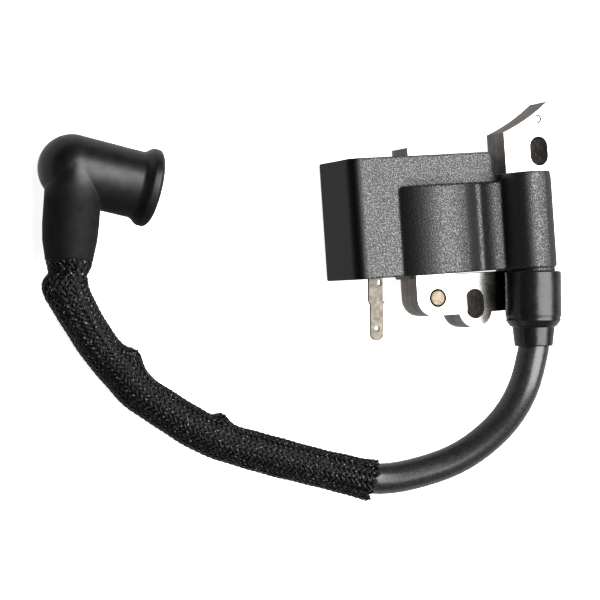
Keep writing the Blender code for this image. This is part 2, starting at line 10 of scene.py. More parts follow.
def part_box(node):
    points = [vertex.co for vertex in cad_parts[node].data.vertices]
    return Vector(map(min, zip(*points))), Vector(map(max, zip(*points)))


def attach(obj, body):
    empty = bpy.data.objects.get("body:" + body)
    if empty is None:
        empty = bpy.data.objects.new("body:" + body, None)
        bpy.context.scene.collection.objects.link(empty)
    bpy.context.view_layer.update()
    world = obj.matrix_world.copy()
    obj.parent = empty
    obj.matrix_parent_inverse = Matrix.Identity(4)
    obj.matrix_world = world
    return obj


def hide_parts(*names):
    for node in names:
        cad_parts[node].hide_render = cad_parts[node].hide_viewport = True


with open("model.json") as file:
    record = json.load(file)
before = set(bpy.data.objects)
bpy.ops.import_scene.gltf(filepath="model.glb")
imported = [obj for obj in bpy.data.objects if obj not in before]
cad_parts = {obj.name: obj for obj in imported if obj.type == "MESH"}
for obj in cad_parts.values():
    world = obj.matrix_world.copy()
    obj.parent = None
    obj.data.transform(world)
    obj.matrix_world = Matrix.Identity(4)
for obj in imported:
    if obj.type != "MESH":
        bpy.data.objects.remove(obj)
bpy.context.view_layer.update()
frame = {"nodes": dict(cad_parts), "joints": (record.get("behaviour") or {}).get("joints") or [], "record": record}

MM = 0.001

# The module's frame, from the core: local X from the left leg's side, Y up the legs,
# Z out of the core's front face. Sizes below are in millimetres.
core_low, core_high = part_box("lamination_stack")
DATUM = Vector((core_low.x + 0.6 * MM, core_high.y - 38 * MM, core_high.z))
MODULE = Matrix.Translation(DATUM)
SHEETS, SHEET_PITCH = 17, 0.5

joint = frame["joints"][0]
BOOT_MOUTH = Vector(joint["pos_m"]) / MM
BOOT_UP = -Vector(joint["axis"]).normalized()
BOOT_LENGTH = 20.13  # from the mouth to the head's centre
BOOT_HEAD = BOOT_MOUTH + BOOT_UP * BOOT_LENGTH
BOOT_RIM = Vector((-70.8, 13.1, 8.9))  # the plug end points this way
BOOT_REACH = 18.5  # from the head's centre to the plug end's rim


# ---------------------------------------------------------------- camera

AIM = Vector((-39.57, -13.51, 14.5)) * MM
AIM_DISTANCE = 438.6 * MM
TURN = Euler((math.radians(0.6), math.radians(-21.8), math.radians(-4.23)), "XYZ")

camera_data = bpy.data.cameras.new("camera")
camera_data.lens = 120
camera_data.sensor_width = 36
camera_data.clip_start = 0.01
camera = bpy.data.objects.new("camera", camera_data)
camera.rotation_euler = TURN
camera.location = AIM + TURN.to_matrix() @ Vector((0, 0, AIM_DISTANCE))
bpy.context.scene.collection.objects.link(camera)
bpy.context.scene.camera = camera


# ---------------------------------------------------------------- mesh tools


def link(obj):
    bpy.context.scene.collection.objects.link(obj)
    return obj


def mesh_object(name, shape):
    mesh = bpy.data.meshes.new(name)
    shape.to_mesh(mesh)
    shape.free()
    return link(bpy.data.objects.new(name, mesh))


def face_outwards(mesh, weld=False):
    shape = bmesh.new()
    shape.from_mesh(mesh)
    if weld:
        bmesh.ops.remove_doubles(shape, verts=shape.verts, dist=1e-7)
    bmesh.ops.recalc_face_normals(shape, faces=shape.faces)
    shape.to_mesh(mesh)
    shape.free()


def from_faces(name, verts, faces, uvs=None):
    """A mesh object from points in millimetres, with a UV map for each face if given."""
    mesh = bpy.data.meshes.new(name)
    mesh.from_pydata([Vector(v) * MM for v in verts], [], faces)
    if uvs:
        layer = mesh.uv_layers.new(name="yarn")
        layer.data.foreach_set("uv", [n for face in uvs for corner in face for n in corner])
    face_outwards(mesh)
    return link(bpy.data.objects.new(name, mesh))


def bake(obj):
    """Apply the object's modifiers and its place to its mesh."""
    bpy.context.view_layer.update()
    graph = bpy.context.evaluated_depsgraph_get()
    mesh = bpy.data.meshes.new_from_object(obj.evaluated_get(graph))
    mesh.transform(obj.matrix_world)
    old = obj.data
    if obj.type == "MESH":
        obj.modifiers.clear()
        obj.data = mesh
        obj.matrix_world = Matrix.Identity(4)
        bpy.data.meshes.remove(old)
        return obj
    name = obj.name
    bpy.data.objects.remove(obj)
    bpy.data.curves.remove(old)
    face_outwards(mesh, weld=True)
    return link(bpy.data.objects.new(name, mesh))


def remove(obj):
    mesh = obj.data
    bpy.data.objects.remove(obj)
    bpy.data.meshes.remove(mesh)


def merge(name, parts):
    """One mesh object out of several, each closed body kept."""
    shape = bmesh.new()
    for part in parts:
        mesh = part.data.copy()
        mesh.transform(part.matrix_world)
        shape.from_mesh(mesh)
        bpy.data.meshes.remove(mesh)
        remove(part)
    return mesh_object(name, shape)


def boolean(obj, others, operation):
    for other in others:
        modifier = obj.modifiers.new(operation, "BOOLEAN")
        modifier.operation = operation
        modifier.solver = "EXACT"
        modifier.object = other
    bake(obj)
    for other in others:
        remove(other)
    return obj


def moulded(obj, voxel, rounds, keep):
    """Blend joined solids into one skin with soft edges, and keep that share of its faces."""
    remesh = obj.modifiers.new("skin", "REMESH")
    remesh.mode = "VOXEL"
    remesh.voxel_size = voxel * MM
    smooth = obj.modifiers.new("soften", "SMOOTH")
    smooth.factor = 0.5
    smooth.iterations = rounds
    thin = obj.modifiers.new("thin", "DECIMATE")
    thin.ratio = keep
    return bake(obj)


def box(name, low, high):
    low, high = Vector(low), Vector(high)
    shape = bmesh.new()
    bmesh.ops.create_cube(shape, size=1.0)
    bmesh.ops.scale(shape, vec=(high - low) * MM, verts=shape.verts)
    bmesh.ops.translate(shape, vec=(high + low) / 2 * MM, verts=shape.verts)
    return mesh_object(name, shape)


def lathe(name, profile, closed=False, steps=96):
    """A profile of (radius, height) turned about local Z."""
    verts, rings, faces = [], [], []
    for radius, height in profile:
        count = 1 if radius < 1e-6 else steps
        rings.append(range(len(verts), len(verts) + count))
        for i in range(count):
            angle = 2 * math.pi * i / steps
            verts.append((radius * math.cos(angle), radius * math.sin(angle), height))
    pairs = list(zip(rings, rings[1:])) + ([(rings[-1], rings[0])] if closed else [])
    for a, b in pairs:
        for i in range(steps):
            j = (i + 1) % steps
            face = [a[i % len(a)], a[j % len(a)], b[j % len(b)], b[i % len(b)]]
            face = list(dict.fromkeys(face))
            if len(face) > 2:
                faces.append(face)
    return from_faces(name, verts, faces)


def arc(centre, radius, start, end, steps):
    angles = [math.radians(start + (end - start) * i / steps) for i in range(steps + 1)]
    return [(centre[0] + radius * math.cos(a), centre[1] + radius * math.sin(a)) for a in angles]


def rounded(corners, closed=True, steps=6):
    """A line through (x, y, radius) corners, each rounded by its radius."""
    count = len(corners)
    line = []
    for i, (x, y, radius) in enumerate(corners):
        here = Vector((x, y))
        if radius <= 0 or (not closed and i in (0, count - 1)):
            line.append((x, y))
            continue
        before = Vector(corners[i - 1][:2])
        after = Vector(corners[(i + 1) % count][:2])
        a, b = (before - here).normalized(), (after - here).normalized()
        half = a.angle(b) / 2
        reach = radius / math.tan(half)
        middle = here + (a + b).normalized() * (radius / math.sin(half))
        start, end = here + a * reach - middle, here + b * reach - middle
        turn = start.angle_signed(end)
        for k in range(steps + 1):
            spoke = start.copy()
            spoke.rotate(Matrix.Rotation(-turn * k / steps, 2))
            line.append(tuple(middle + spoke))
    return line


def plate(name, loops, low, high, bevel=0.0):
    """A flat outline with its holes, from local Z = low to high."""
    curve = bpy.data.curves.new(name, "CURVE")
    curve.dimensions = "2D"
    curve.fill_mode = "BOTH"
    curve.extrude = ((high - low) / 2 - bevel) * MM
    curve.bevel_depth = bevel * MM
    curve.bevel_resolution = 0
    curve.offset = -bevel * MM
    for loop in loops:
        spline = curve.splines.new("POLY")
        spline.points.add(len(loop) - 1)
        for point, (x, y) in zip(spline.points, loop):
            point.co = (x * MM, y * MM, 0, 1)
        spline.use_cyclic_u = True
    obj = link(bpy.data.objects.new(name, curve))
    obj.location = (0, 0, (low + high) / 2 * MM)
    return bake(obj)


def bar(name, loops, low, high):
    """An outline in local X and Z, from local Y = low to high."""
    obj = plate(name, loops, -high, -low)
    obj.rotation_euler = (math.radians(90), 0, 0)
    return bake(obj)


def frames(points):
    """(point, inner side, upper side) along a line that lies about flat."""
    found = []
    for i, point in enumerate(points):
        ahead = points[min(i + 1, len(points) - 1)]
        behind = points[max(i - 1, 0)]
        along = (ahead - behind).normalized()
        inner = along.cross(Vector((0, 0, 1))).normalized()
        found.append((point, inner, inner.cross(along)))
    return found


def smooth_route(route, step):
    """Points about a step apart on the centripetal Catmull-Rom curve through the route."""
    knots = [Vector(point) for point in route]
    knots = [2 * knots[0] - knots[1], *knots, 2 * knots[-1] - knots[-2]]
    fine = []
    for a, b, c, d in zip(knots, knots[1:], knots[2:], knots[3:]):
        ta, tb = 0.0, (b - a).length ** 0.5
        tc = tb + (c - b).length ** 0.5
        td = tc + (d - c).length ** 0.5
        for i in range(20):
            t = tb + (tc - tb) * i / 20
            ab = a.lerp(b, (t - ta) / (tb - ta))
            bc = b.lerp(c, (t - tb) / (tc - tb))
            cd = c.lerp(d, (t - tc) / (td - tc))
            left = ab.lerp(bc, (t - ta) / (tc - ta))
            right = bc.lerp(cd, (t - tb) / (td - tb))
            fine.append(left.lerp(right, (t - tb) / (tc - tb)))
    fine.append(knots[-2])
    lengths = [0.0]
    for a, b in zip(fine, fine[1:]):
        lengths.append(lengths[-1] + (b - a).length)
    count = round(lengths[-1] / step)
    points, at = [], 0
    for i in range(count + 1):
        wanted = lengths[-1] * i / count
        while at < len(fine) - 2 and lengths[at + 1] < wanted:
            at += 1
        share = (wanted - lengths[at]) / (lengths[at + 1] - lengths[at])
        points.append(fine[at].lerp(fine[at + 1], share))
    return points


def length_of(points):
    return sum((b - a).length for a, b in zip(points, points[1:]))


def finish_piece(obj, material, body, replaces=(), place=None, angle=35):
    if place is not None:
        obj.data.transform(place)
    obj.data.materials.clear()
    obj.data.materials.append(material)
    if obj.type == "MESH":
        obj.data.shade_smooth()
        obj.data.set_sharp_from_angle(angle=math.radians(angle))
    if replaces:
        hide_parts(*replaces)
    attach(obj, body)
    return obj


# ---------------------------------------------------------------- materials


class Paint:
    """A Principled material and short ways to add to its nodes."""

    def __init__(self, name, colour, roughness, metallic=0.0):
        self.material = bpy.data.materials.new(name)
        self.material.use_nodes = True
        self.tree = self.material.node_tree
        self.shader = self.tree.nodes["Principled BSDF"]
        self.use(Base_Color=(*colour, 1), Roughness=roughness, Metallic=metallic)
        coordinates = self.tree.nodes.new("ShaderNodeTexCoord")
        self.where, self.normal = coordinates.outputs["Object"], coordinates.outputs["Normal"]

    def fill(self, socket, value):
        """Link the socket to another socket, or set it."""
        if hasattr(value, "links"):
            self.tree.links.new(value, socket)
        else:
            socket.default_value = value

    def node(self, kind, settings=None, **values):
        node = self.tree.nodes.new("ShaderNode" + kind)
        for name, value in (settings or {}).items():
            setattr(node, name, value)
        for name, value in values.items():
            self.fill(node.inputs[name], value)
        return node

    def noise(self, size, detail=2.0, roughness=0.5, stretch=None):
        """Noise of grain about size, in millimetres."""
        where = self.where
        if stretch:
            where = self.node("Mapping", Vector=where, Scale=stretch).outputs["Vector"]
        values = {"Scale": 1 / (size * MM), "Detail": detail, "Roughness": roughness}
        return self.node("TexNoise", Vector=where, **values).outputs["Fac"]

    def ramp(self, fac, low, high, start=0.0, end=1.0):
        """A value or a colour from low to high as fac goes from start to end."""
        node = self.node("ValToRGB", Fac=fac)
        stops = node.color_ramp.elements
        for stop, at, value in ((stops[0], start, low), (stops[1], end, high)):
            stop.position = at
            stop.color = (*value, 1) if hasattr(value, "__len__") else (value,) * 3 + (1,)
        return node.outputs["Color"]

    def bump(self, height, depth, normal=None):
        """A normal from the height, depth in millimetres, on top of another if given."""
        values = {"Height": height, "Distance": depth * MM, "Strength": 1.0}
        if normal is not None:
            values["Normal"] = normal
        return self.node("Bump", **values).outputs["Normal"]

    def math(self, operation, a, b=0.0):
        node = self.node("Math", {"operation": operation})
        for socket, value in zip(node.inputs, (a, b)):
            self.fill(socket, value)
        return node.outputs["Value"]

    def part_of(self, vector, axis):
        return self.node("SeparateXYZ", Vector=vector).outputs[axis]

    def use(self, **values):
        """Set or link the shader's own sockets, named with _ for each space."""
        for name, value in values.items():
            self.fill(self.shader.inputs[name.replace("_", " ")], value)
        return self.material


CASE_SIDE_X = -26.2 * MM  # the case's left side
SIDE_FADE = 2.0  # over which the side's smooth skin gives way to the front's grain


def nylon():
    """Glass-filled nylon: spark grain on the front, smooth where the mould slides; the bright speckle in its
    colour is painted glints, and there are fewer of them on faces turned left as painted shade.
    """
    paint = Paint("spark-textured nylon", (0.008, 0.008, 0.009), 0.3)
    facing = paint.part_of(paint.normal, "X")
    past_side = paint.math("ADD", paint.part_of(paint.where, "X"), -CASE_SIDE_X)
    inward = paint.math("MULTIPLY", past_side, 1 / (SIDE_FADE * MM))
    right = paint.ramp(facing, 1.0, 0.12, 0.4, 0.6)
    front = paint.math("MULTIPLY", right, paint.ramp(inward, 0.15, 1.0, 0.0, 1.0))
    # painted shade: faces turned left, such as the bulge's left flank, get fewer bright specks and less grain
    left = paint.ramp(paint.math("ADD", facing, 1.0), 0.45, 1.0, 0.3, 0.85)
    front = paint.math("MULTIPLY", front, left)
    pits = paint.ramp(paint.noise(0.27, 2.0, 0.6), 0.0, 1.0, 0.36, 0.64)
    normal = paint.bump(paint.noise(0.14, 1.0, 0.5), 0.01)
    normal = paint.bump(paint.math("MULTIPLY", pits, front), 0.05, normal)
    # painted glints: bright specks put into the base colour in place of reflections
    painted_glint = paint.math("MULTIPLY", paint.noise(0.33, 1.0, 0.5), front)
    tone = paint.ramp(painted_glint, (0.002, 0.002, 0.002), (0.085, 0.085, 0.09), 0.5, 0.62)
    gloss = paint.ramp(painted_glint, 0.5, 0.2, 0.44, 0.6)
    shine = paint.ramp(inward, 0.2, 0.68, 0.0, 1.0)
    paint.use(Normal=normal, Base_Color=tone, Roughness=gloss)
    return paint.use(Specular_IOR_Level=shine, IOR=1.55)


def gland_rubber():
    """Moulded rubber with a slightly wavy, fairly glossy skin."""
    paint = Paint("gland rubber", (0.009, 0.009, 0.01), 0.27)
    normal = paint.bump(paint.noise(4.0, 2.0, 0.5), 0.08)
    normal = paint.bump(paint.noise(0.5, 3.0, 0.6), 0.012, normal)
    gloss = paint.ramp(paint.noise(2.5, 4.0, 0.6), 0.22, 0.34, 0.3, 0.7)
    mottle = paint.noise(1.2, 4.0, 0.7)
    tone = paint.ramp(mottle, (0.009, 0.009, 0.01), (0.0135, 0.0135, 0.015), 0.4, 0.75)
    paint.use(Normal=normal, Roughness=gloss, Base_Color=tone)
    return paint.use(Specular_IOR_Level=0.52)


def boot_rubber():
    """Moulded rubber, dull along the tube that is handled and smoother round the plug end."""
    paint = Paint("boot rubber", (0.007, 0.007, 0.007), 0.4)
    up = paint.node("VectorMath", {"operation": "DOT_PRODUCT"})
    paint.fill(up.inputs[0], paint.where)
    paint.fill(up.inputs[1], BOOT_UP)
    height = paint.math("SUBTRACT", up.outputs["Value"], BOOT_MOUTH.dot(BOOT_UP) * MM)
    along = paint.math("DIVIDE", height, 30 * MM)
    normal = paint.bump(paint.noise(5.0, 2.0), 0.06)
    normal = paint.bump(paint.noise(0.5, 3.0, 0.6), 0.012, normal)
    dull = paint.ramp(along, 0.66, 0.33, 0.42, 0.6)
    smudge = paint.ramp(paint.noise(2.5, 4.0, 0.6), 0.0, 0.1, 0.35, 0.7)
    tone = paint.ramp(paint.noise(1.6, 4.0, 0.7), (0.005,) * 3, (0.011, 0.0105, 0.01), 0.4, 0.75)
    paint.use(Normal=normal, Roughness=paint.math("ADD", dull, smudge), Base_Color=tone)
    return paint.use(Specular_IOR_Level=paint.ramp(along, 0.22, 0.5, 0.42, 0.62))


def jacket():
    """The lead's extruded jacket, very slightly uneven."""
    paint = Paint("lead jacket", (0.013, 0.013, 0.014), 0.3)
    normal = paint.bump(paint.noise(1.6, 1.0, 0.5), 0.015)
    gloss = paint.ramp(paint.noise(0.4, 3.0, 0.6), 0.24, 0.38, 0.3, 0.7)
    tone = paint.ramp(paint.noise(0.8, 3.0), (0.02, 0.02, 0.02), (0.032,) * 3, 0.4, 0.7)
    paint.use(Normal=normal, Roughness=gloss, Base_Color=tone)
    return paint.use(Specular_IOR_Level=0.8)


FILAMENTS = 4


def yarn():
    """Black glass yarn: fine filaments along each carrier, with a few bright specks in its colour as painted
    glints.
    """
    paint = Paint("braid yarn", (0.003, 0.003, 0.003), 0.34)
    uv = paint.node("UVMap", {"uv_map": "yarn"}).outputs["UV"]
    across = paint.math("MULTIPLY", paint.part_of(uv, "X"), 2 * math.pi * FILAMENTS)
    normal = paint.bump(paint.math("SINE", across), 0.03)
    # painted glints: sparse bright specks put into the yarn's base colour
    tone = paint.ramp(paint.noise(0.45, 2.0), (0.003, 0.003, 0.003), (0.3, 0.3, 0.3), 0.63, 0.74)
    gloss = paint.ramp(paint.noise(0.5, 2.0), 0.14, 0.5, 0.4, 0.6)
    paint.use(Normal=normal, Base_Color=tone, Roughness=gloss)
    return paint.use(Specular_IOR_Level=0.26)


def steel_face():
    """The bright rolled face of the outer sheets."""
    paint = Paint("plated sheet", (0.7, 0.69, 0.67), 0.3, 1.0)
    rolled = paint.noise(0.25, 3.0, 0.6, (1.0, 0.08, 1.0))
    spots = paint.noise(2.2, 4.0, 0.6)
    normal = paint.bump(rolled, 0.006)
    tone = paint.ramp(spots, (0.36, 0.35, 0.33), (0.46, 0.45, 0.44), 0.3, 0.7)
    gloss = paint.ramp(paint.noise(3.0, 2.0), 0.2, 0.27, 0.3, 0.7)
    return paint.use(Normal=normal, Base_Color=tone, Roughness=gloss)


def steel_edge():
    """The sheared edges of the sheets, dull and faintly stained."""
    paint = Paint("sheared edges", (0.3, 0.26, 0.24), 0.5, 0.9)
    across = paint.math("ADD", paint.part_of(paint.where, "Z"), -DATUM.z)
    phase = paint.math("MULTIPLY", across, 2 * math.pi / (SHEET_PITCH * MM))
    burr = paint.ramp(paint.math("COSINE", phase), 0.0, 1.0, 0.2, 1.0)
    stain = paint.noise(3.2, 3.0, 0.55)
    shear = paint.noise(0.35, 3.0, 0.6, (1.0, 1.0, 0.35))
    normal = paint.bump(shear, 0.025)
    clean = paint.ramp(stain, (0.18, 0.158, 0.146), (0.31, 0.292, 0.275), 0.36, 0.64)
    mix = paint.node("Mix", {"data_type": "RGBA"})
    share, first, second = (mix.inputs[i] for i in (0, 6, 7))  # the ones for colours
    paint.fill(share, paint.math("MULTIPLY", burr, 0.45))
    paint.fill(first, clean)
    paint.fill(second, (0.07, 0.056, 0.05, 1))
    gloss = paint.ramp(stain, 0.4, 0.56, 0.3, 0.7)
    return paint.use(Normal=normal, Base_Color=mix.outputs[2], Roughness=gloss)


def metal(name, dark, light, roughness, grain, depth=0.02, metallic=1.0):
    paint = Paint(name, light, roughness, metallic)
    normal = paint.bump(paint.noise(grain, 3.0, 0.6), depth)
    tone = paint.ramp(paint.noise(grain * 2.5, 4.0, 0.65), dark, light, 0.32, 0.62)
    gloss = paint.ramp(paint.noise(grain * 1.6, 3.0), roughness - 0.06, roughness + 0.1, 0.3, 0.7)
    return paint.use(Normal=normal, Base_Color=tone, Roughness=gloss)


def plastic(name, dark, light, roughness, grain=0.6, depth=0.02):
    return metal(name, dark, light, roughness, grain, depth, 0.0)


WIRE_PITCH = 0.22


def wound():
    """Enamelled wire laid turn by turn along the coil's axis."""
    paint = Paint("enamelled wire", (0.5, 0.18, 0.06), 0.32, 0.85)
    turns = paint.math("MULTIPLY", paint.part_of(paint.where, "Y"), 2 * math.pi / (WIRE_PITCH * MM))
    normal = paint.bump(paint.math("SINE", turns), 0.05)
    tone = paint.ramp(paint.noise(1.4, 3.0), (0.34, 0.1, 0.03), (0.62, 0.26, 0.09), 0.3, 0.7)
    return paint.use(Normal=normal, Base_Color=tone)


def fibreglass():
    """Green board with tracks under its mask."""
    paint = Paint("circuit board", (0.03, 0.16, 0.07), 0.4)
    greens = {
        "Color1": (0.02, 0.13, 0.05, 1),
        "Color2": (0.04, 0.2, 0.09, 1),
        "Mortar": (0.015, 0.08, 0.03, 1),
    }
    tracks = paint.node("TexBrick", Vector=paint.where, Scale=260.0, **greens)
    normal = paint.bump(paint.noise(0.3, 2.0), 0.01)
    return paint.use(Normal=normal, Base_Color=tracks.outputs["Color"])


def floor_material():
    paint = Paint("pale floor", (0.92, 0.92, 0.92), 0.9)
    tone = paint.ramp(paint.noise(60.0, 2.0), (0.91, 0.91, 0.91), (0.93, 0.93, 0.93), 0.3, 0.7)
    paint.use(Base_Color=tone, Emission_Color=(1, 1, 1, 1), Emission_Strength=0.75)
    return paint.use(Specular_IOR_Level=0.0)


NYLON = nylon()
BOOT_RUBBER = boot_rubber()
GLAND_RUBBER = gland_rubber()
JACKET = jacket()
YARN = yarn()
STEEL_FACE = steel_face()
STEEL_EDGE = steel_edge()
# painted shade: the slot walls get a darker colour than the other sheared edges
STEEL_SLOT_PAINTED_SHADE = metal("slot walls with painted shade", (0.05, 0.04, 0.032), (0.17, 0.14, 0.12), 0.5, 0.5, 0.03, 0.9)
COPPER = metal("staked copper", (0.155, 0.122, 0.092), (0.225, 0.188, 0.145), 0.5, 0.35, 0.05)
TIN = metal("tinned blade", (0.123, 0.109, 0.091), (0.172, 0.156, 0.135), 0.55, 0.6, 0.04)
BRASS = metal("brass", (0.55, 0.38, 0.14), (0.82, 0.64, 0.30), 0.28, 0.6)
SPRING = metal("spring wire", (0.4, 0.4, 0.4), (0.68, 0.68, 0.67), 0.26, 0.4, 0.01)
RESIN = plastic("poured resin", (0.006, 0.006, 0.007), (0.016, 0.016, 0.017), 0.18, 1.8, 0.05)
BOBBIN = plastic("bobbin plastic", (0.30, 0.26, 0.18), (0.40, 0.35, 0.26), 0.45)
EPOXY = plastic("moulded epoxy", (0.012, 0.012, 0.012), (0.03, 0.03, 0.03), 0.5, 0.3)
FILM = plastic("dipped capacitor", (0.34, 0.06, 0.03), (0.5, 0.12, 0.06), 0.25, 1.2, 0.06)
ENAMEL = wound()
BOARD = fibreglass()
FLOOR = floor_material()


# ---------------------------------------------------------------- lead and sleeve

LEAD_ROUTE = (
    (14.7, 1.7, 21.5),
    (14.7, -5.0, 21.5),
    (14.7, -11.0, 21.5),
    (14.42, -15.8, 21.5),
    (14.1, -20.8, 21.5),
    (13.66, -27.7, 21.5),
    (12.75, -30.9, 21.4),
    (11.2, -36.2, 20.5),
    (8.9, -41.5, 18.5),
    (5.0, -46.7, 15.7),
    (-2.2, -51.9, 12.3),
    (-11.1, -54.7, 9.2),
    (-19.8, -55.5, 6.6),
    (-28.9, -53.3, 4.9),
    (-38.3, -50.2, 4.5),
    (-47.6, -46.9, 4.5),
    (-56.4, -43.5, 4.5),
    (-61.4, -40.8, 4.5),
    (-70.1, -34.6, 4.5),
    (-74.9, -30.8, 4.5),
    (-78.8, -26.0, 4.8),
    (-83.0, -20.8, 5.7),
    (-86.6, -15.3, 7.3),
    (-89.3, -10.3, 8.8),
    (-90.3, -6.6, 9.4),
    (-89.6, -1.9, 9.3),
    (-88.95, 3.08, 8.9),
    (-87.65, 13.03, 8.1),
)
LEAD_RADIUS = 3.5
ROUTE_STEP = 2.5
SLEEVE_END = Vector((-20.6, -55.5, 6.4))

lead_points = smooth_route(LEAD_ROUTE, ROUTE_STEP)


def lead():
    """A round lead along the route, kept as a curve."""
    curve = bpy.data.curves.new("high_tension_lead", "CURVE")
    curve.dimensions = "3D"
    curve.bevel_depth = LEAD_RADIUS * MM
    curve.bevel_resolution = 10
    curve.use_fill_caps = True
    spline = curve.splines.new("POLY")
    spline.points.add(len(lead_points) - 1)
    for point, place in zip(spline.points, lead_points):
        point.co = (*(place * MM), 1)
    spline.use_smooth = True
    return link(bpy.data.objects.new("high_tension_lead", curve))


CARRIERS = 24  # in each direction
BRAID_RADIUS, BRAID_ANGLE = 4.2, 40
BRAID_STEP = 0.45
YARN_WIDTH, YARN_THICK, YARN_FACETS = 0.74, 0.36, 6
WEAVE_HEIGHT = 0.17
SLEEVE_TUCK = 0.9  # how far the sleeve goes into the boot


def nearest_on_lead(place):
    return min(range(len(lead_points)), key=lambda i: (lead_points[i] - place).length)


def hump(x, middle, before, after):
    """1 at the middle, falling to nothing over the widths before and after it."""
    width = before if x < middle else after
    return math.exp(-(((x - middle) / width) ** 2))


def sleeve_radius(s, total, angle):
    """The sleeve's radius s millimetres from its loose end, at an angle from its inner side.

    It flares at the loose end, bunches before the boot and is rucked in two places.
    """
    left = total - s
    radius = 4.12 + 0.06 * math.sin(s * 0.31) + 0.04 * math.sin(s * 0.83 + 1.0)
    radius += 0.42 * math.exp(-((s / 4.0) ** 2))
    radius += 0.7 * hump(left, 0.6, 2.0, 1.6) - 0.3 * hump(left, 3.4, 0.7, 0.9)
    outer = math.cos(angle - math.pi)
    radius += 1.15 * hump(left, 5.6, 1.3, 3.4) * max(outer, 0) ** 2
    inner = math.exp(-((angle / 0.75) ** 2))
    radius += 1.5 * hump(s, 67.0, 2.8, 2.0) * inner
    radius += 1.45 * hump(s, 40.4, 2.4, 1.7) * inner
    return radius


def sleeve():
    """Two sets of flat yarns that wind opposite ways and pass over and under two at a time."""
    start, stop = nearest_on_lead(SLEEVE_END), nearest_on_lead(BOOT_MOUTH)
    tucked = BOOT_MOUTH + BOOT_UP * SLEEVE_TUCK
    line = [SLEEVE_END, *lead_points[start + 1:stop], BOOT_MOUTH, tucked]
    fine = frames(smooth_route(line, BRAID_STEP))
    total = length_of([point for point, _, _ in fine])
    count = len(fine)
    step = total / (count - 1)
    climb = math.tan(math.radians(BRAID_ANGLE)) / BRAID_RADIUS
    spacing = 2 * math.pi / CARRIERS
    randomness = random.Random(4)
    verts, faces, uvs = [], [], []
    turns = [math.pi * k / YARN_FACETS for k in range(YARN_FACETS + 1)]
    section = [(-0.5 * math.cos(turn), math.sin(turn) - 0.5) for turn in turns]
    sides = len(section)
    for direction in (1, -1):
        lean = math.atan(climb * BRAID_RADIUS) * direction
        for carrier in range(CARRIERS):
            slant = 1.1 - 0.6 * math.cos(carrier * spacing)
            first = round(slant / step + randomness.uniform(-0.4, 0.8))
            base = len(verts)
            rows = max(count - first, 0)
            for i in range(first, count):
                s = i * step
                point, inner, upper = fine[i]
                angle = carrier * spacing + direction * climb * s
                crossed = 2 * s * climb / spacing
                phase = 2 * carrier + direction * crossed
                lift = direction * WEAVE_HEIGHT * math.cos(math.pi / 2 * phase - math.pi / 4)
                folded = (angle + math.pi) % (2 * math.pi) - math.pi
                radius = sleeve_radius(s, total, folded)
                out = inner * math.cos(angle) + upper * math.sin(angle)
                round_way = upper * math.cos(angle) - inner * math.sin(angle)
                along = inner.cross(upper) * -1.0
                across = round_way * math.cos(lean) - along * math.sin(lean)
                sag = -0.9 * math.exp(-((s / 6.0) ** 2))
                middle = point + out * (radius + lift) + Vector((0, 0.55 * sag, 0.1 * sag))
                for x, z in section:
                    verts.append(middle + across * (x * YARN_WIDTH) + out * (z * YARN_THICK))
            for row in range(rows - 1):
                for k in range(sides):
                    a, b = base + row * sides + k, base + row * sides + (k + 1) % sides
                    faces.append((a, b, b + sides, a + sides))
                    u, w = k / YARN_FACETS, (k + 1) % sides / YARN_FACETS
                    v = row * step
                    uvs.append(((u, v), (w, v), (w, v + step), (u, v + step)))
            faces.append(tuple(base + k for k in range(sides)))
            faces.append(tuple(base + (rows - 1) * sides + k for k in reversed(range(sides))))
            uvs += [((0, 0),) * sides] * 2
    return from_faces("braided_sleeving", verts, faces, uvs)


# ---------------------------------------------------------------- boot


def boot_matrix():
    """The boot's frame: local Z = 0 at its mouth, Z up its tube, X towards the plug end."""
    plug = BOOT_RIM - BOOT_HEAD
    across = (plug - plug.dot(BOOT_UP) * BOOT_UP).normalized()
    side = BOOT_UP.cross(across)
    turn = Matrix((across, side, BOOT_UP)).transposed().to_4x4()
    return Matrix.Translation(BOOT_MOUTH * MM) @ turn


def plug_matrix():
    """The plug end's frame: local Z = 0 at the head's centre, Z towards the rim."""
    plug = (BOOT_RIM - BOOT_HEAD).normalized()
    lean = plug.dot(BOOT_UP)
    way = Vector((math.sqrt(1 - lean**2), 0, lean))
    turn = way.to_track_quat("Z", "Y").to_matrix().to_4x4()
    return Matrix.Translation(Vector((0, 0, BOOT_LENGTH * MM))) @ turn


HEAD_RADIUS = 7.4
RIM_RADIUS = 8.5
TUBE_LIFT = 1.45  # how far up the tube's head end is pushed
TUBE_LIFT_FROM, TUBE_LIFT_OVER = 3.0, 17.0
BORE_RADIUS, BORE_DEPTH = 3.82, 17.4


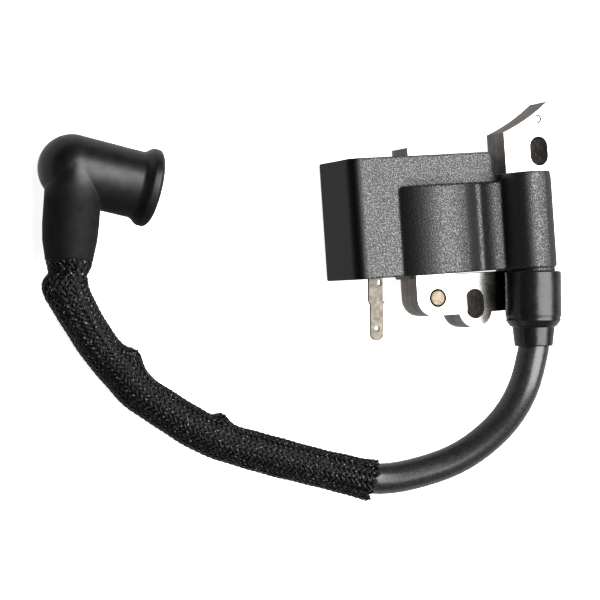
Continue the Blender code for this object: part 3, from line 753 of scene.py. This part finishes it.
def boot():
    length, reach = BOOT_LENGTH, BOOT_REACH
    tube = lathe(
        "boot_tube",
        rounded(
            [
                (0, length, 0),
                (6.0, length, 0),
                (6.05, 13.6, 2.0),
                (6.05, 8.0, 2.0),
                (5.85, 4.6, 2.0),
                (5.3, 1.6, 2.0),
                (5.1, 0.35, 0.4),
                (4.85, 0.0, 0.15),
                (0, 0.0, 0),
            ],
            False,
        ),
    )
    turns = [math.pi * i / 40 for i in range(41)]
    ball = [(HEAD_RADIUS * math.sin(a), length + HEAD_RADIUS * math.cos(a)) for a in turns]
    head = lathe("boot_head", ball)
    plug = lathe(
        "boot_plug_end",
        rounded(
            [
                (0, reach, 0),
                (RIM_RADIUS - 1.0, reach, 0.7),
                (RIM_RADIUS + 0.05, reach - 0.7, 0.9),
                (RIM_RADIUS + 0.05, reach - 2.3, 0.9),
                (HEAD_RADIUS - 0.1, reach - 3.9, 1.6),
                (HEAD_RADIUS - 0.1, reach - 8.0, 2.0),
                (HEAD_RADIUS - 0.02, 0.0, 0.5),
                (0, -1.0, 0),
            ],
            False,
        ),
    )
    plug.data.transform(plug_matrix())
    rise = boot_matrix().to_3x3().inverted() @ Vector((0, 0, 1))
    for vertex in tube.data.vertices:
        share = min(max((vertex.co.z / MM - TUBE_LIFT_FROM) / TUBE_LIFT_OVER, 0.0), 1.0)
        vertex.co += rise * (TUBE_LIFT * MM * share * share * (3 - 2 * share))
    skin = moulded(merge("elbow_boot", [tube, head, plug]), 0.2, 3, 0.3)
    hole = [(0, BORE_DEPTH), (BORE_RADIUS, BORE_DEPTH), (BORE_RADIUS, 0.8), (4.6, -0.6), (0, -0.6)]
    bore = lathe("bore", hole, steps=64)
    socket = lathe(
        "socket",
        rounded(
            [
                (0, reach + 1.0, 0),
                (RIM_RADIUS - 1.5, reach + 1.0, 0),
                (RIM_RADIUS - 1.7, reach - 0.6, 0.5),
                (5.35, reach - 3.0, 0.6),
                (5.2, reach - 4.4, 0.3),
                (5.5, reach - 5.0, 0.3),
                (5.2, reach - 5.6, 0.3),
                (5.2, -1.5, 0.3),
                (4.2, -2.5, 0.3),
                (0, -2.5, 0),
            ],
            False,
        ),
        steps=72,
    )
    socket.data.transform(plug_matrix())
    return boolean(skin, [bore, socket], "DIFFERENCE")


def tube_through(name, points, radius):
    """A closed round tube along points, in millimetres."""
    sides = 12
    verts, faces = [], []
    up = Vector((0.3, 0.2, 1)).normalized()
    for i, point in enumerate(points):
        along = (points[min(i + 1, len(points) - 1)] - points[max(i - 1, 0)]).normalized()
        up = (up - up.dot(along) * along).normalized()
        side = along.cross(up)
        for k in range(sides):
            angle = 2 * math.pi * k / sides
            verts.append(point + (up * math.cos(angle) + side * math.sin(angle)) * radius)
    for i in range(len(points) - 1):
        for k in range(sides):
            a, b = i * sides + k, i * sides + (k + 1) % sides
            faces.append((a, b, b + sides, a + sides))
    faces.append(tuple(range(sides)))
    faces.append(tuple(len(verts) - 1 - k for k in range(sides)))
    return from_faces(name, verts, faces)


def terminal_spring():
    """The coil spring in the plug end that grips the plug."""
    turns, steps = 5, 32
    start, pitch, radius, wire = 2.0, 1.5, 3.1, 0.45
    helix = []
    for i in range(turns * steps + 1):
        angle = 2 * math.pi * i / steps
        height = start + pitch * i / steps
        helix.append(Vector((radius * math.cos(angle), radius * math.sin(angle), height)))
    spring = tube_through("terminal_spring", helix, wire)
    spring.data.transform(plug_matrix())
    return spring


# ---------------------------------------------------------------- core

FLYWHEEL_CENTRE, FLYWHEEL_RADIUS = (7.2, 74.2), 46.1
YOKE_LOW, YOKE_HIGH = -9.4, -0.4
YOKE_CORNER = 4.0
LEFT_LEG = -0.6, 9.4
RIGHT_LEG = 23.9, 33.9, 35.8  # inside, outside along the yoke, outside at the pole
LUG_CENTRE, LUG_RADIUS = (13.7, -8.5), 4.2
SLOTS = (13.7, -7.3), (32.75, 26.6)
SLOT_RADIUS, SLOT_HALF = 2.25, 1.1
RIVET, RIVET_HOLE, RIVET_HOLE_RADIUS = (4.6, -5.4), (4.5, -5.4), 2.05
SHEET_GAP = 0.015
SLOT_REACH = 3.6  # from a slot's centre, the farthest of its walls
DIMPLE = (32.9, 34.0)


def pole_point(x):
    """The point at x on the pole faces' arc, concentric with the flywheel."""
    return (x, FLYWHEEL_CENTRE[1] - math.sqrt(FLYWHEEL_RADIUS**2 - (x - FLYWHEEL_CENTRE[0]) ** 2))


def core_outline():
    left, inner_left = LEFT_LEG
    inner_right, right, pole = RIGHT_LEG
    low, corner = YOKE_LOW, YOKE_CORNER
    line = rounded([(left, 20, 0), (left, low, corner), (5.0, low, 0)], False, 10)[1:-1]
    dip = math.degrees(math.asin((LUG_CENTRE[1] - low) / LUG_RADIUS))
    line += arc(LUG_CENTRE, LUG_RADIUS, 180 + dip, 360 - dip, 24)
    line += rounded([(25, low, 0), (right, low, corner), (right, 0, 0)], False, 10)[1:-1]
    upper_lug = [
        (right, 0, 0),
        (right, 17.5, 1.0),
        (37.6, 21.5, 1.2),
        (37.6, 29.7, 1.0),
        (pole, 32.0, 1.0),
        (pole, 37, 0),
    ]
    line += rounded(upper_lug, False)[1:-1]
    line.append((pole, 38.0))
    line += [pole_point(pole - 11.9 * i / 12) for i in range(1, 13)]
    line += [(inner_right, YOKE_HIGH), (inner_left, YOKE_HIGH)]
    line += [pole_point(inner_left - 10.0 * i / 6) for i in range(7)]
    return line


def slot_loop(x, y):
    upper = arc((x, y + SLOT_HALF), SLOT_RADIUS, 0, 180, 18)
    return upper + arc((x, y - SLOT_HALF), SLOT_RADIUS, 180, 360, 18)


def core():
    """The stack, its sheets very slightly out of line and the front one marked by a dimple."""
    randomness = random.Random(11)
    loops = [core_outline(), *(slot_loop(x, y) for x, y in SLOTS)]
    loops.append(arc(RIVET_HOLE, RIVET_HOLE_RADIUS, 0, 350, 35))
    sheets = []
    for number in range(SHEETS):
        high = -SHEET_PITCH * number
        low = high - SHEET_PITCH + SHEET_GAP
        sheet = plate(f"sheet_{number}", loops, low, high, 0.04)
        if number:
            sheet.location = (
                randomness.uniform(-0.02, 0.03) * MM,
                randomness.uniform(-0.03, 0.03) * MM,
                0,
            )
        else:
            punch = [(0, -0.26), (0.7, -0.26), (0.98, 0.0), (0.98, 0.3), (0, 0.3)]
            dimple = lathe("dimple", punch, steps=32)
            dimple.data.transform(Matrix.Translation(Vector((*DIMPLE, 0)) * MM))
            boolean(sheet, [dimple], "DIFFERENCE")
        sheets.append(sheet)
    bpy.context.view_layer.update()
    return merge("core_sheets", sheets)


def paint_core(obj):
    """Bright faces front and back, dull sheared edges, and the walls in the slots darker as painted shade."""
    obj.data.materials.append(STEEL_EDGE)
    obj.data.materials.append(STEEL_SLOT_PAINTED_SHADE)
    slots = [(MODULE @ Vector((x * MM, y * MM, 0))).xy for x, y in SLOTS]
    for face in obj.data.polygons:
        if abs(face.normal.z) > 0.9:
            face.material_index = 0
        else:
            # faces near a slot take the darker slot colour as painted shade
            near = min((face.center.xy - slot).length for slot in slots)
            face.material_index = 2 if near < SLOT_REACH * MM else 1


def rivet():
    """The rivet's staked end, a little sunk in its hole."""
    profile = [
        (0, -0.28, 0),
        (0.5, -0.22, 0.2),
        (1.3, -0.1, 0.3),
        (1.75, -0.2, 0.15),
        (1.75, -8.6, 0.15),
        (1.2, -8.7, 0.2),
        (0, -8.6, 0),
    ]
    obj = lathe("staked_rivet", rounded(profile, False, 4), steps=48)
    obj.data.transform(Matrix.Translation(Vector((*RIVET, 0)) * MM))
    return obj


# ---------------------------------------------------------------- case

COIL, BULGE_RADIUS = (4.4, -4.25), 12.5
RIB, RIB_RADIUS = (18.0, 2.3), 4.0
CASE_LEFT, CASE_RIGHT, CASE_BACK, CASE_FRONT, CASE_TOP = -16.4, 19.8, -14.5, 3.7, 26.8
WALL = 1.5
BULGE_TOP = 19.75
LEAD_AXIS = (25.3, 7.0)
Y_UP = Matrix.Rotation(math.radians(-90), 4, "X")


def bulge_height(x):
    """The front of the coil bulge and of the rib beside it, run softly together."""
    soft = 0.5
    heights = [4.5]
    for (middle, centre), radius in ((COIL, BULGE_RADIUS), (RIB, RIB_RADIUS)):
        reach = radius**2 - (x - middle) ** 2
        if reach > 0:
            heights.append(centre + math.sqrt(reach))
    if x < COIL[0]:
        return heights[-1]
    return soft * math.log(sum(math.exp(height / soft) for height in heights))


def case():
    left, right, back, front, top = CASE_LEFT, CASE_RIGHT, CASE_BACK, CASE_FRONT, CASE_TOP
    corners = [(left, back, 0.5), (right, back, 0.5), (right, front, 2.3), (left, front, 2.7)]
    body = bar("case_body", [rounded(corners, True, 10)], 0, top)
    foot = COIL[0] - math.sqrt(BULGE_RADIUS**2 - (front - 1 - COIL[1]) ** 2)
    end = LEAD_AXIS[0]
    crest = [foot + (end - foot) * i / 120 for i in range(121)]
    profile = [(x, bulge_height(x)) for x in crest] + [(end, 1.0), (foot, 1.0)]
    bulge = bar("bulge", [profile[::-1]], -1, 30)
    low, high = foot - 0.3, 25.4
    seen = [(low, 0.0, 0.3), (high, 0.0, 0.3), (high, BULGE_TOP, 0.3), (low, BULGE_TOP, 2.6)]
    boolean(bulge, [plate("front_view", [rounded(seen)], -5, 20)], "INTERSECT")
    crown = arc((24.2, 9.1), 4.0, 150, 94, 14) + arc((24.2, 6.7), 6.4, 90, -12, 26)
    flank = [(17.2, 1.0), (17.2, 3.6), *arc((17.2, 6.6), 3.0, -90, -15, 8), (20.3, 9.0)]
    tower = bar("tower", [[*flank, *crown, (29.0, 2.0)][::-1]], 0, 21.6)
    fillet = [(18.0, 1.0, 0), (18.0, 6.3, 0), (19.7, 6.3, 2.4), (21.3, 10.4, 0), (23.0, 1.0, 0)]
    valley = bar("valley", [rounded(fillet)[::-1]], 0, 19.6)
    around = [(0, 21.2, 0), (5.9, 21.2, 1.2), (5.95, -0.2, 0.3), (0, -0.2, 0)]
    barrel = lathe("barrel", rounded(around, False))
    barrel.data.transform(Matrix.Translation(Vector((25.0, 0, 6.6)) * MM) @ Y_UP)
    lip = box("lip", (-1.8, -0.75, -8.5), (-0.6, 0.6, 0.1))
    solids = [body, bulge, tower, valley, barrel, lip]
    skin = moulded(merge("case_moulding", solids), 0.25, 12, 0.3)
    under = [(0, 3, 0), (5.0, 3, 0), (5.0, -6.0, 0.4), (0, -6.0, 0)]
    spigot = lathe("spigot", rounded(under, False))
    spigot.data.transform(Matrix.Translation(Vector((LEAD_AXIS[0], 0, LEAD_AXIS[1])) * MM) @ Y_UP)
    boolean(skin, [spigot], "UNION")
    room = box("room", (left + WALL, WALL, back - 1), (right - WALL, top - WALL, front - WALL))
    pocket = bar("pocket", [arc(COIL, 11.0, 0, 354, 59)], WALL + 0.01, BULGE_TOP - WALL)
    window = box("window", (-0.9, -1, -8.8), (9.7, 30, 0.3))
    bore = bar("bore", [arc(LEAD_AXIS, 3.85, 0, 354, 59)], -7, 17.3)
    slit = box("slit", (-11.65, -1, -3.1), (-7.05, WALL + 1, -1.9))
    return boolean(skin, [room, pocket, window, bore, slit], "DIFFERENCE")


def resin():
    """Poured resin that creeps a little up the case's walls."""
    left, right, low, high = -14.95, 18.35, 1.45, 25.35
    columns, rows = 90, 64
    poured, under = -14.2, -13.2
    verts, faces = [], []
    for level in (poured, under):
        for j in range(rows + 1):
            for i in range(columns + 1):
                x = left + (right - left) * i / columns
                y = low + (high - low) * j / rows
                z = level
                if level == poured:
                    edge = min(x - left, right - x, y - low, high - y)
                    z -= 0.24 * math.exp(-edge / 0.55)
                    z += 0.05 * math.sin(x * 0.35) * math.sin(y * 0.4 + 1)
                verts.append((x, y, z))
    width = columns + 1
    layer = width * (rows + 1)
    for j in range(rows):
        for i in range(columns):
            a = j * width + i
            faces.append((a, a + 1, a + 1 + width, a + width))
    corners = [0, columns, layer - 1, layer - width]
    faces.append(tuple(layer + corner for corner in corners))
    border = list(range(columns)) + [columns + width * j for j in range(rows)]
    border += [layer - 1 - i for i in range(columns)] + [width * (rows - j) for j in range(rows)]
    for start, end in zip(corners, corners[1:] + corners[:1]):
        a, b = border.index(start), border.index(end)
        run = border[a:b + 1] if b > a else border[a:] + [border[0]]
        faces.append((*run, layer + end, layer + start))
    keep = sorted({index for face in faces for index in face})
    number = {old: new for new, old in enumerate(keep)}
    faces = [tuple(number[i] for i in face) for face in faces]
    return from_faces("resin_fill", [verts[i] for i in keep], faces)


BLADE_LEAN = 8  # degrees


def blade():
    """The stop terminal: a tinned blade, wider where it leaves the case."""
    x = -9.35
    outline = rounded(
        [
            (x - 2.0, 1.8, 0.1),
            (x - 2.0, -5.0, 0.5),
            (x - 1.6, -5.9, 0.5),
            (x - 1.6, -14.1, 1.4),
            (x + 1.6, -14.1, 1.4),
            (x + 1.6, -5.8, 0.2),
            (x + 1.95, -5.75, 0.1),
            (x + 1.95, -5.3, 0.1),
            (x + 1.5, -5.2, 0.2),
            (x + 1.5, 1.8, 0.1),
        ]
    )
    hole = arc((x - 0.05, -11.3), 0.52, 0, 345, 23)
    a, b, low, high = x + 0.25, x + 1.05, -1.6, -0.3
    notch = rounded([(a, low, 0.2), (b, low, 0.2), (b, high, 0.2), (a, high, 0.2)])
    obj = plate("stop_blade", [outline, hole, notch], -2.8, -2.2, 0.1)
    root = Matrix.Translation((0, -1.0 * MM, -2.5 * MM))
    lean = Matrix.Rotation(math.radians(BLADE_LEAN), 4, "X")
    obj.data.transform(root @ lean @ root.inverted())
    return obj


GLAND_TURN = -3.7  # degrees, as the lead leaves it


def gland():
    """The seal round the lead: a sleeve, a groove and a narrower collar."""
    profile = rounded(
        [
            (5.65, 0.0, 0.1),
            (6.33, 0.0, 0.45),
            (6.33, -9.9, 0.5),
            (6.12, -10.6, 0.25),
            (6.2, -11.1, 0.25),
            (5.5, -12.1, 0.3),
            (5.35, -12.35, 0.1),
            (4.78, -12.6, 0.3),
            (4.7, -13.4, 0.5),
            (4.3, -16.92, 0.35),
            (3.75, -16.92, 0.1),
            (3.75, -6.9, 0.1),
            (5.65, -6.5, 0.1),
        ],
        True,
    )
    obj = lathe("lead_gland", profile, closed=True)
    turn = Matrix.Rotation(math.radians(GLAND_TURN), 4, "Z") @ Y_UP
    seat = Vector((LEAD_AXIS[0], -0.85, LEAD_AXIS[1]))
    obj.data.transform(Matrix.Translation(seat * MM) @ turn)
    return obj


# ---------------------------------------------------------------- assembly

BOOT = boot_matrix()

cable = finish_piece(lead(), JACKET, "module", ["ht_lead"])
braid = finish_piece(sleeve(), YARN, "module", ["braided_sleeve"], angle=60)
elbow = finish_piece(boot(), BOOT_RUBBER, "boot", ["spark_plug_boot"], BOOT, 50)
coil = finish_piece(
    terminal_spring(), SPRING, "boot", ["plug_terminal_spring"], BOOT, 60
)

finish_piece(case(), NYLON, "module", ["case_shell"], MODULE, 40)
finish_piece(resin(), RESIN, "module", ["potting_resin"], MODULE, 50)
stack = finish_piece(core(), STEEL_FACE, "module", ["lamination_stack"], MODULE, 30)
paint_core(stack)
finish_piece(rivet(), COPPER, "module", ["ground_rivet"], MODULE, 40)
finish_piece(blade(), TIN, "module", ["kill_terminal"], MODULE, 40)
finish_piece(gland(), GLAND_RUBBER, "module", ["ht_gland"], MODULE, 50)

CAD_FINISH = {
    "bobbin_plastic": BOBBIN,
    "enamel_wire": ENAMEL,
    "copper": COPPER,
    "contact_brass": BRASS,
    "board": BOARD,
    "component_epoxy": EPOXY,
    "capacitor_case": FILM,
}
for entry in frame["record"]["subparts"]:
    if entry["material_slot"] in CAD_FINISH:
        node = frame["nodes"][entry["node"]]
        node.data.materials.clear()
        node.data.materials.append(CAD_FINISH[entry["material_slot"]])


# ---------------------------------------------------------------- stage and light

ground = box("floor", (-1500, -1500, -1), (1500, 1500, 0))
ground.data.materials.append(FLOOR)
ground.visible_glossy = False
ground.visible_diffuse = False

LIT_CENTRE = Vector((-35, -12, 8)) * MM
KEY_LEAN = 25  # degrees from straight above, towards +X
KEY_DISTANCE, KEY_WIDTH, KEY_HEIGHT = 0.7, 0.87, 0.78
KEY_WATTS = 14
TABLE_GLOW, ROOM_GLOW, HORIZON = 0.75, 0.06, 0.12


def softbox():
    """A large soft key light over the right-hand side."""
    data = bpy.data.lights.new("key", "AREA")
    data.shape = "RECTANGLE"
    data.size = KEY_WIDTH
    data.size_y = KEY_HEIGHT
    data.energy = KEY_WATTS
    obj = link(bpy.data.objects.new("key", data))
    way = Vector((math.tan(math.radians(KEY_LEAN)), 0, 1)).normalized()
    obj.location = LIT_CENTRE + way * KEY_DISTANCE
    obj.rotation_euler = way.to_track_quat("Z", "Y").to_euler()
    obj.visible_camera = False


def studio_world():
    """A dim room over the table, and the pale table all round below."""
    world = bpy.data.worlds.new("studio")
    bpy.context.scene.world = world
    world.use_nodes = True
    tree = world.node_tree
    where = tree.nodes.new("ShaderNodeTexCoord").outputs["Generated"]
    split = tree.nodes.new("ShaderNodeSeparateXYZ")
    tree.links.new(where, split.inputs["Vector"])
    ramp = tree.nodes.new("ShaderNodeValToRGB")
    tree.links.new(split.outputs["Z"], ramp.inputs["Fac"])
    stops = ramp.color_ramp.elements
    for stop, at, value in ((stops[0], 0.0, TABLE_GLOW), (stops[1], HORIZON, ROOM_GLOW)):
        stop.position = at
        stop.color = (value, value, value, 1)
    tree.links.new(ramp.outputs["Color"], tree.nodes["Background"].inputs["Color"])


softbox()
studio_world()
bpy.context.scene.view_settings.view_transform = "Standard"
bpy.context.scene.view_settings.look = "Medium High Contrast"
